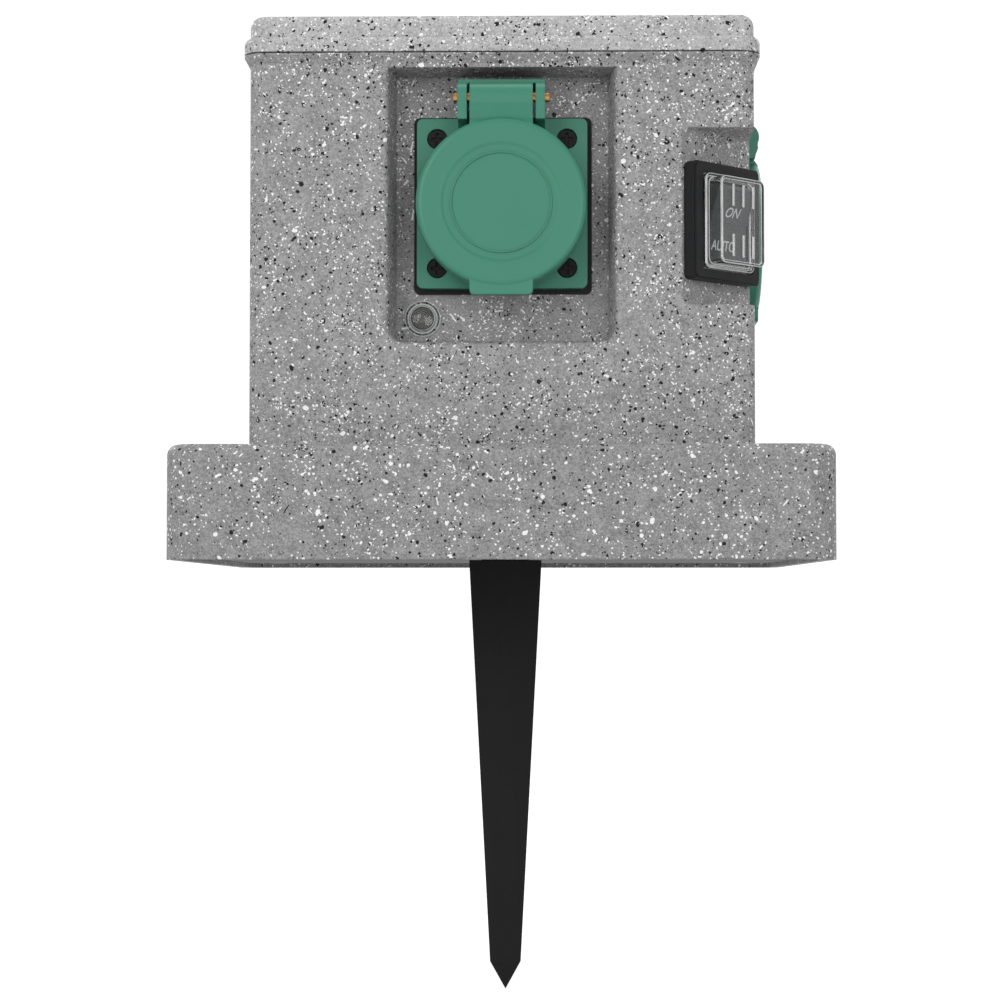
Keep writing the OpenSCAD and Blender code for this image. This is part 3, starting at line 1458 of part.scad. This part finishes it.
housing();
top_lid();
lid_seal();
lid_screws();
base_plate();
base_plate_screws();
ground_spike();
spike_screw();
on_panel(0) socket_gasket();  // front_gasket
on_panel(0) socket_body();  // front_socket_body
on_panel(0) contact_carrier();  // front_contact_carrier
on_panel(0) pin_contacts();  // front_pin_contacts
on_panel(0) earth_clip();  // front_earth_clip
on_panel(0) terminal_screws();  // front_terminal_screws
on_panel(0) flange_screws();  // front_flange_screws
on_panel(0) hinge_pin();  // front_hinge_pin
on_panel(0) lid_spring();  // front_lid_spring
on_panel(0) socket_lid();  // front_lid
on_panel(0) socket_lid_seal();  // front_lid_seal
on_panel(90) socket_gasket();  // side_gasket
on_panel(90) socket_body();  // side_socket_body
on_panel(90) contact_carrier();  // side_contact_carrier
on_panel(90) pin_contacts();  // side_pin_contacts
on_panel(90) earth_clip();  // side_earth_clip
on_panel(90) terminal_screws();  // side_terminal_screws
on_panel(90) flange_screws();  // side_flange_screws
on_panel(90) hinge_pin();  // side_hinge_pin
on_panel(90) lid_spring();  // side_lid_spring
on_panel(90) socket_lid();  // side_lid
on_panel(90) socket_lid_seal();  // side_lid_seal
on_facet(switch_z) switch_gasket();
on_facet(switch_z) switch_body();
on_facet(switch_z) switch_bezel();
on_facet(switch_z) switch_hood();
on_facet(switch_z) switch_rocker();
on_facet(switch_z) switch_plunger();
on_facet(switch_z) switch_contact_lever();
on_facet(switch_z) switch_terminals();
on_panel(0) sensor_bezel();
on_panel(0) sensor_lens();
on_panel(0) light_sensor();
on_panel(0) sensor_nut();
gland_body();
gland_washer();
gland_locknut();
gland_cap_nut();
gland_seal();
control_board();
board_screws();
relay();
capacitor();
fuse();
socket_terminal_block();
mains_terminal_block();
live_wires();
neutral_wires();
earth_wires();
switch_wires();
sensor_wires();
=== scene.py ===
# Looks of the garden socket, in metres, in the CAD part's frame
import json
import math

import bmesh
import bpy
from mathutils import Matrix, Vector


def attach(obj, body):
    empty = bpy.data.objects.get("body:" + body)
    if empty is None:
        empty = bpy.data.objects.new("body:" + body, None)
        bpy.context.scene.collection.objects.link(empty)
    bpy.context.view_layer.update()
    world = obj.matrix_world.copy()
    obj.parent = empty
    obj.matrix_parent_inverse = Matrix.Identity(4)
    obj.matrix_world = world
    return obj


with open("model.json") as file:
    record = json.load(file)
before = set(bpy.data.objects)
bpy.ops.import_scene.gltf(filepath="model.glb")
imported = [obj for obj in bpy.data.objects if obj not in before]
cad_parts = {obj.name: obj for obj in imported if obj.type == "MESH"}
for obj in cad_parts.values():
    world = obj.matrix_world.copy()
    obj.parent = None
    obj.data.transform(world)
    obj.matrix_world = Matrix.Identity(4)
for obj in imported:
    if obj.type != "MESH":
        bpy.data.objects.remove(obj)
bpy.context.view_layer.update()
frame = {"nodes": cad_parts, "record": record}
nodes = frame["nodes"]
MM = 0.001


# Small helpers for node trees

def new_material(name):
    mat = bpy.data.materials.new(name)
    mat.use_nodes = True
    return mat, mat.node_tree, mat.node_tree.nodes["Principled BSDF"]


def feed(tree, socket, value):
    """Links the value to the socket where it is another node's output, and sets it otherwise."""
    if isinstance(value, bpy.types.NodeSocket):
        tree.links.new(value, socket)
    else:
        socket.default_value = value


def add(tree, kind, **values):
    """A node of that kind. A lower-case name is a property, any other a socket, with _ for a space."""
    node = tree.nodes.new(kind)
    for key, value in values.items():
        if hasattr(node, key):
            setattr(node, key, value)
        else:
            feed(tree, node.inputs[key.replace("_", " ")], value)
    return node


def math_node(tree, operation, *values, clamp=False):
    node = add(tree, "ShaderNodeMath", operation=operation, use_clamp=clamp)
    for socket, value in zip(node.inputs, values):
        feed(tree, socket, value)
    return node.outputs[0]


def weighted(tree, a, b, share):
    """That share of a, with the rest from b."""
    part = math_node(tree, "MULTIPLY", a, share)
    return math_node(tree, "ADD", part, math_node(tree, "MULTIPLY", b, 1 - share))


def vector_node(tree, operation, *values):
    node = add(tree, "ShaderNodeVectorMath", operation=operation)
    for socket, value in zip(node.inputs, values):
        feed(tree, socket, value)
    return node.outputs["Value" if operation in ("DOT_PRODUCT", "LENGTH") else "Vector"]


def scale_vector(tree, vector, factor):
    return add(tree, "ShaderNodeVectorMath", operation="SCALE", Vector=vector, Scale=factor).outputs["Vector"]


def map_range(tree, value, from_low, from_high, to_low, to_high):
    node = add(tree, "ShaderNodeMapRange", Value=value)
    for socket, limit in zip(node.inputs[1:5], (from_low, from_high, to_low, to_high)):
        socket.default_value = limit
    return node.outputs[0]


def mix_color(tree, factor, a, b):
    node = add(tree, "ShaderNodeMix", data_type="RGBA")
    for place, value in ((0, factor), (6, a), (7, b)):
        feed(tree, node.inputs[place], value)
    return node.outputs[2]


def mix_shader(tree, factor, a, b):
    node = tree.nodes.new("ShaderNodeMixShader")
    for socket, value in zip(node.inputs, (factor, a, b)):
        tree.links.new(value, socket)
    return node.outputs[0]


def noise(tree, where, scale, detail, roughness=0.5):
    node = add(tree, "ShaderNodeTexNoise", Vector=where, Scale=scale, Detail=detail, Roughness=roughness)
    return node.outputs["Fac"]


def rgba(srgb):
    """sRGB values from 0 to 255 as linear light."""
    line = [c / 255 for c in srgb]
    return tuple(c / 12.92 if c <= 0.04045 else ((c + 0.055) / 1.055) ** 2.4 for c in line) + (1.0,)


def grey(level):
    return rgba((level, level, level))


def position(tree):
    return tree.nodes.new("ShaderNodeTexCoord").outputs["Object"]


def edge_normal(tree, radius, samples=4):
    """Normals that round off sharp edges by that radius."""
    return add(tree, "ShaderNodeBevel", samples=samples, Radius=radius).outputs[0]


def bump(tree, height, strength, distance, normal):
    node = add(tree, "ShaderNodeBump", Height=height, Strength=strength, Distance=distance, Normal=normal)
    return node.outputs[0]


# Stone-look plastic: flakes are short rods in 3D cells, white or black, cut by the surface

FOOT_TOP = 32.8 * MM
FOOT_SHADE = 0.1
WHITE_FLAKE, BLACK_FLAKE = 250, 10
FLAKE_EDGE = 0.04 * MM
THINNEST = 0.3
DARKER, PALER = 42, 40

# Each layer of flakes: cell, half length and half width in mm, share of the cells, dark part of it
FINE = [(0.8, 0.25, 0.27, 0.55, 0.45), (1.2, 0.7, 0.29, 0.7, 0.33)]
LONG = [(1.8, 1.5, 0.33, 0.85, 0.08), (2.5, 2.3, 0.34, 0.8, 0.1)]
DOTS = [(1.5, 0.25, 0.5, 0.6, 0.85), (3.2, 0.4, 0.75, 0.5, 0.6)]
FOOT = [
    (0.8, 0.25, 0.28, 0.6, 0.45),
    (1.5, 0.35, 0.45, 0.8, 0.5),
    (2.6, 0.5, 0.62, 0.85, 0.35),
    (2.3, 2.2, 0.26, 0.85, 0.16),
]


def flakes(tree, where, size, length, width, share, dark_share, seed, crowd):
    """Masks of one layer's white and black flakes. The seed sets its cells apart from the other layers'."""
    moved = add(tree, "ShaderNodeMapping", Vector=where, Location=(seed, seed * 0.7, -seed)).outputs[0]
    cells = add(tree, "ShaderNodeTexVoronoi", Vector=moved, Scale=1 / (size * MM), Randomness=1.0)
    centre = cells.outputs["Position"]
    luck = add(tree, "ShaderNodeSeparateColor")
    chance = add(tree, "ShaderNodeTexWhiteNoise", Vector=centre)
    tree.links.new(chance.outputs["Color"], luck.inputs[0])
    long_luck, wide_luck, colour_luck = luck.outputs
    # Distance from the rod: the nearest point on its axis lies at most half its length from the centre
    spread = vector_node(tree, "SUBTRACT", cells.outputs["Color"], (0.5, 0.5, 0.5))
    direction = vector_node(tree, "NORMALIZE", spread)
    offset = vector_node(tree, "SUBTRACT", moved, centre)
    half = math_node(tree, "MULTIPLY", long_luck, length * MM)
    along = math_node(tree, "MINIMUM", vector_node(tree, "DOT_PRODUCT", offset, direction), half)
    along = math_node(tree, "MAXIMUM", along, math_node(tree, "MULTIPLY", half, -1.0))
    nearest = scale_vector(tree, direction, along)
    away = vector_node(tree, "LENGTH", vector_node(tree, "SUBTRACT", offset, nearest))
    width *= MM
    reach = math_node(tree, "MULTIPLY_ADD", wide_luck, width * (1 - THINNEST), width * THINNEST)
    mask = math_node(tree, "DIVIDE", math_node(tree, "SUBTRACT", reach, away), FLAKE_EDGE, clamp=True)
    # Only some cells hold a flake, and the first part of these is black
    limit = math_node(tree, "MULTIPLY", crowd, share)
    mask = math_node(tree, "MULTIPLY", mask, math_node(tree, "LESS_THAN", colour_luck, limit))
    limit = math_node(tree, "MULTIPLY", limit, dark_share)
    black = math_node(tree, "MULTIPLY", mask, math_node(tree, "LESS_THAN", colour_luck, limit))
    return math_node(tree, "SUBTRACT", mask, black, clamp=True), black


def stone(name, base, layers, foot_layers=()):
    """Speckled plastic: grain, soft patches and layers of flakes, with coarser ones on the foot."""
    mat, tree, bsdf = new_material(name)
    where = position(tree)
    wobble = add(tree, "ShaderNodeTexNoise", Vector=where, Scale=1100.0, Detail=1.0).outputs["Color"]
    place = vector_node(tree, "ADD", where, scale_vector(tree, wobble, 0.5 * MM))
    height = add(tree, "ShaderNodeSeparateXYZ", Vector=where).outputs[2]
    over_foot = math_node(tree, "GREATER_THAN", height, FOOT_TOP)
    on_foot = math_node(tree, "SUBTRACT", 1.0, over_foot)
    crowd = map_range(tree, noise(tree, where, 95.0, 2.0), 0.34, 0.62, 0.2, 1.0)
    white = black = None
    placed = [(layer, over_foot) for layer in layers] + [(layer, on_foot) for layer in foot_layers]
    for i, (layer, region) in enumerate(placed):
        pale, deep = flakes(tree, place, *layer, 0.013 + 0.029 * i, crowd)
        if foot_layers:
            pale = math_node(tree, "MULTIPLY", pale, region)
            deep = math_node(tree, "MULTIPLY", deep, region)
        white = pale if white is None else math_node(tree, "MAXIMUM", white, pale)
        black = deep if black is None else math_node(tree, "MAXIMUM", black, deep)
    # Grain and cloudy patches of the plastic between the flakes
    grain = noise(tree, where, 1700.0, 2.0, 0.7)
    cloud = noise(tree, where, 240.0, 4.0, 0.65)
    shade = map_range(tree, weighted(tree, grain, cloud, 0.7), 0.3, 0.7, 0.0, 1.0)
    color = mix_color(tree, shade, grey(base - DARKER), grey(base + PALER))
    if foot_layers:
        color = mix_color(tree, math_node(tree, "MULTIPLY", on_foot, FOOT_SHADE), color, grey(0))
    color = mix_color(tree, black, color, grey(BLACK_FLAKE))
    color = mix_color(tree, white, color, grey(WHITE_FLAKE))
    tree.links.new(color, bsdf.inputs["Base Color"])
    bsdf.inputs["Roughness"].default_value = 0.62
    bsdf.inputs["Specular IOR Level"].default_value = 0.3
    relief = bump(tree, grain, 0.12, 0.2 * MM, edge_normal(tree, 0.6 * MM))
    tree.links.new(relief, bsdf.inputs["Normal"])
    return mat


# Plain plastics, rubber and metals

def plastic(name, srgb, roughness, edge=0.3, spread=8, grain=2200.0, relief=0.06, specular=0.4, bounce=None):
    """Moulded plastic with a fine grain and edges rounded by that many mm.

    bounce is the grey that it throws on its neighbours instead of its colour.
    """
    mat, tree, bsdf = new_material(name)
    where = position(tree)
    fine = noise(tree, where, grain, 3.0, 0.6)
    broad = noise(tree, where, 45.0, 3.0)
    dark = rgba([max(c - spread, 0) for c in srgb])
    pale = rgba([min(c + spread, 255) for c in srgb])
    color = mix_color(tree, weighted(tree, fine, broad, 0.35), dark, pale)
    if bounce:
        path = tree.nodes.new("ShaderNodeLightPath")
        color = mix_color(tree, path.outputs["Is Diffuse Ray"], color, grey(bounce))
    tree.links.new(color, bsdf.inputs["Base Color"])
    rough = map_range(tree, fine, 0.0, 1.0, roughness - 0.05, roughness + 0.05)
    tree.links.new(rough, bsdf.inputs["Roughness"])
    bsdf.inputs["Specular IOR Level"].default_value = specular
    tree.links.new(bump(tree, fine, relief, 0.2 * MM, edge_normal(tree, edge * MM)), bsdf.inputs["Normal"])
    return mat


def metal(name, srgb, roughness):
    """Metal with fine scratches across its height."""
    mat, tree, bsdf = new_material(name)
    where = add(tree, "ShaderNodeMapping", Vector=position(tree), Scale=(900, 900, 5000)).outputs[0]
    fine = noise(tree, where, 1.0, 3.0)
    color = mix_color(tree, fine, rgba([c * 0.82 for c in srgb]), rgba(srgb))
    tree.links.new(color, bsdf.inputs["Base Color"])
    bsdf.inputs["Metallic"].default_value = 1.0
    rough = map_range(tree, fine, 0.0, 1.0, roughness - 0.08, roughness + 0.1)
    tree.links.new(rough, bsdf.inputs["Roughness"])
    tree.links.new(bump(tree, fine, 0.1, 0.1 * MM, edge_normal(tree, 0.2 * MM)), bsdf.inputs["Normal"])
    return mat


def clear(name, srgb, roughness=0.03, edge_highlight=0.8):
    """Clear plastic that lets light through to what lies behind it, with a painted highlight on its edges."""
    mat, tree, bsdf = new_material(name)
    bsdf.inputs["Base Color"].default_value = rgba(srgb)
    bsdf.inputs["Transmission Weight"].default_value = 1.0
    bsdf.inputs["IOR"].default_value = 1.46
    wave = noise(tree, position(tree), 260.0, 2.0)
    rough = map_range(tree, wave, 0.0, 1.0, roughness, roughness + 0.05)
    tree.links.new(rough, bsdf.inputs["Roughness"])
    # Near an edge the rounded normal leaves the face's own, and there a pale opaque shader is mixed in, up to
    # the last argument's share, as a painted highlight
    flat = tree.nodes.new("ShaderNodeNewGeometry").outputs["True Normal"]
    turn = vector_node(tree, "DOT_PRODUCT", edge_normal(tree, 0.6 * MM, samples=12), flat)
    highlight_mask = map_range(tree, turn, 0.995, 0.9, 0.0, edge_highlight)
    pale = add(tree, "ShaderNodeBsdfPrincipled", Base_Color=rgba((244, 243, 242)), Roughness=0.3)
    body = mix_shader(tree, highlight_mask, bsdf.outputs[0], pale.outputs[0])
    # Shadow rays pass straight through
    see_through = add(tree, "ShaderNodeBsdfTransparent", Color=rgba((235, 238, 238)))
    path = tree.nodes.new("ShaderNodeLightPath")
    both = mix_shader(tree, path.outputs["Is Shadow Ray"], body, see_through.outputs[0])
    tree.links.new(both, tree.nodes["Material Output"].inputs["Surface"])
    return mat


M = {
    "stone_plastic": stone("stone plastic", 148, FINE + LONG + DOTS, FOOT),
    "stone_lid_plastic": stone("stone lid plastic", 178, FINE + LONG + DOTS),
    "rubber": plastic("black rubber", (30, 30, 31), 0.7, specular=0.25),
    "steel": metal("zinc-plated steel", (178, 179, 182), 0.32),
    "black_steel": plastic("blackened steel", (13, 10, 11), 0.45, edge=0.2, spread=5, specular=0.2),
    "grey_plastic": plastic("grey plastic", (44, 44, 45), 0.6),
    "black_plastic": plastic("black plastic", (24, 24, 26), 0.5, grain=1800.0, relief=0.1, specular=0.3),
    "dark_grey_plastic": plastic("dark grey plastic", (52, 52, 53), 0.42),
    "green_plastic": plastic("green plastic", (61, 136, 112), 0.38, edge=0.4, spread=5, bounce=112),
    "white_plastic": plastic("off-white plastic", (222, 220, 212), 0.5),
    "brass": metal("brass", (216, 150, 84), 0.3),
    "clear_plastic": clear("clear plastic", (246, 249, 249)),
    "sensor_brown": plastic("sensor", (66, 62, 59), 0.6, spread=12, grain=900.0, relief=0.0, specular=0.05),
    "board_green": plastic("circuit board", (30, 96, 56), 0.3, spread=10),
    "relay_blue": plastic("relay case", (40, 92, 168), 0.35),
    "capacitor_yellow": plastic("capacitor", (226, 184, 58), 0.35),
    "fuse_ceramic": plastic("ceramic", (226, 222, 210), 0.3),
    "terminal_green": plastic("terminal block", (72, 158, 86), 0.45),
    "wire_brown": plastic("brown insulation", (112, 68, 40), 0.45),
    "wire_blue": plastic("blue insulation", (46, 98, 178), 0.45),
    "wire_green_yellow": plastic("green and yellow insulation", (142, 172, 48), 0.45, spread=40, grain=300.0),
    "wire_black": plastic("black insulation", (40, 40, 40), 0.45),
    "wire_white": plastic("white insulation", (224, 224, 222), 0.45),
}
SPIKE = plastic("spike plastic", (12, 12, 12), 0.6, grain=1800.0, relief=0.1, specular=0.2)
LETTERING = plastic("white lettering", (190, 190, 190), 0.6, relief=0.02)

slot_of = {s["node"]: s["material_slot"] for s in frame["record"]["subparts"]}
for name, node in nodes.items():
    for place in node.material_slots:
        place.material = M[slot_of[name]]
for place in nodes["ground_spike"].material_slots:
    place.material = SPIKE


# Rounded edges of the clear hood, which catch the light

soft = nodes["switch_hood"].modifiers.new("rounded edges", "BEVEL")
soft.width = 0.45 * MM
soft.segments = 3
soft.limit_method = "ANGLE"
soft.angle_limit = math.radians(50)


# Letters on the rocker, placed from the middle of the facet: x to the right, y up, z outwards

FACET_OUT = 88.6005 * MM
SWITCH_Z = 98.2 * MM
facet = (
    Matrix.Rotation(math.radians(45), 4, "Z")
    @ Matrix.Translation((0, -FACET_OUT, SWITCH_Z))
    @ Matrix.Rotation(math.radians(90), 4, "X")
)


def letters(name, text, size, stretch, at, tilt):
    """Raised white letters, with their size and place in mm."""
    curve = bpy.data.curves.new(name, "FONT")
    curve.body = text
    curve.size = size * MM
    curve.shear = 0.28
    curve.offset = 0.03 * MM
    curve.extrude = 0.04 * MM
    curve.align_x, curve.align_y = "CENTER", "CENTER"
    flat = bpy.data.objects.new(name + "_curve", curve)
    bpy.context.scene.collection.objects.link(flat)
    bpy.context.view_layer.update()
    data = bpy.data.meshes.new_from_object(flat.evaluated_get(bpy.context.evaluated_depsgraph_get()))
    bpy.data.objects.remove(flat)
    data.name = name
    spot = Matrix.Translation([v * MM for v in at])
    lean = Matrix.Rotation(math.radians(tilt), 4, "X")
    data.transform(facet @ spot @ lean @ Matrix.Diagonal((stretch, 1, 1, 1)))
    obj = bpy.data.objects.new(name, data)
    bpy.context.scene.collection.objects.link(obj)
    data.materials.clear()
    data.materials.append(LETTERING)
    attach(obj, "rocker")


letters("switch_on_lettering", "ON", 4.1, 0.95, (-0.3, 2.7, 6.0), 20)
letters("switch_auto_lettering", "AUTO", 4.3, 0.8, (-2.6, -7.0, 4.67), 0)


# Camera: the photograph looks at the front from a little below its middle

camera = bpy.data.cameras.new("camera")
camera.lens = 89.35
camera.sensor_width = 36.0
camera.dof.use_dof = False
camera.clip_start, camera.clip_end = 0.01, 100.0
eye = bpy.data.objects.new("camera", camera)
bpy.context.scene.collection.objects.link(eye)
eye.location = (0.012, -0.786, -0.011)
eye.rotation_euler = (math.radians(90 + 2.28), 0, math.radians(1.0))
bpy.context.scene.camera = eye


# Floor and backdrop, white to the camera, with the object's soft shadow on the floor

FLOOR_Z = -0.136
FLOOR_FRONT = -3.0
FLOOR_HALF_WIDTH = 4
CURVE_START = 1.2
CURVE_RADIUS = 0.8
CURVE_STEPS = 12
BACKDROP_TOP = 4.0


def stage_material(name, level, glow):
    """Matt white that also glows by that much where the camera sees it."""
    mat, tree, bsdf = new_material(name)
    bsdf.inputs["Base Color"].default_value = (level, level, level, 1)
    bsdf.inputs["Roughness"].default_value = 0.9
    bsdf.inputs["Specular IOR Level"].default_value = 0.0
    path = tree.nodes.new("ShaderNodeLightPath")
    seen = math_node(tree, "MAXIMUM", path.outputs["Is Camera Ray"], path.outputs["Is Glossy Ray"])
    seen = math_node(tree, "MAXIMUM", seen, path.outputs["Is Transmission Ray"])
    shine = add(tree, "ShaderNodeEmission", Strength=math_node(tree, "MULTIPLY", seen, glow))
    both = tree.nodes.new("ShaderNodeAddShader")
    tree.links.new(bsdf.outputs[0], both.inputs[0])
    tree.links.new(shine.outputs[0], both.inputs[1])
    tree.links.new(both.outputs[0], tree.nodes["Material Output"].inputs["Surface"])
    return mat


floor_data = bpy.data.meshes.new("floor")
bm = bmesh.new()
rows = [(FLOOR_FRONT, FLOOR_Z), (CURVE_START, FLOOR_Z)]
for i in range(1, CURVE_STEPS + 1):
    a = math.radians(90 * i / CURVE_STEPS)
    rows.append((CURVE_START + CURVE_RADIUS * math.sin(a), FLOOR_Z + CURVE_RADIUS * (1 - math.cos(a))))
rows.append((CURVE_START + CURVE_RADIUS, BACKDROP_TOP))
line = [[bm.verts.new((x, y, z)) for x in (-FLOOR_HALF_WIDTH, FLOOR_HALF_WIDTH)] for y, z in rows]
for a, b in zip(line, line[1:]):
    bm.faces.new((a[0], a[1], b[1], b[0])).smooth = True
bm.to_mesh(floor_data)
bm.free()
floor = bpy.data.objects.new("floor", floor_data)
bpy.context.scene.collection.objects.link(floor)
floor_data.materials.append(stage_material("white floor", 0.55, 0.7))


# Light: an even white room and soft lamps, the key and the fill in front

ROOM_LIGHT = 0.55
ROOM_SEEN = 0.45
MIDDLE = (0, 0, 0.06)

world = bpy.data.worlds.new("room")
bpy.context.scene.world = world
world.use_nodes = True
tree = world.node_tree
back = tree.nodes["Background"]
path = tree.nodes.new("ShaderNodeLightPath")
seen = math_node(tree, "MAXIMUM", path.outputs["Is Camera Ray"], path.outputs["Is Transmission Ray"])
back.inputs["Color"].default_value = (1, 1, 1, 1)
strength = math_node(tree, "ADD", math_node(tree, "MULTIPLY", seen, ROOM_SEEN), ROOM_LIGHT)
tree.links.new(strength, back.inputs["Strength"])


def lamp(name, place, target, size, power):
    """A round lamp of that diameter in metres and that power in watts, which points at the target."""
    data = bpy.data.lights.new(name, "AREA")
    data.shape = "DISK"
    data.size = size
    data.energy = power
    obj = bpy.data.objects.new(name, data)
    bpy.context.scene.collection.objects.link(obj)
    obj.location = place
    obj.rotation_euler = (Vector(target) - Vector(place)).to_track_quat("-Z", "Y").to_euler()


lamp("key", (-0.7, -1.35, 0.5), MIDDLE, 0.9, 6.8)
lamp("fill", (0.55, -1.45, 0.25), MIDDLE, 0.8, 4.0)
lamp("top", (0.1, 0.1, 1.3), (0, 0, 0.1), 0.8, 4.0)
lamp("rear left", (-1.1, 1.0, 0.8), MIDDLE, 0.7, 6.0)
lamp("rear right", (1.1, 1.0, 0.9), MIDDLE, 0.7, 5.5)

bpy.context.scene.view_settings.view_transform = "Standard"
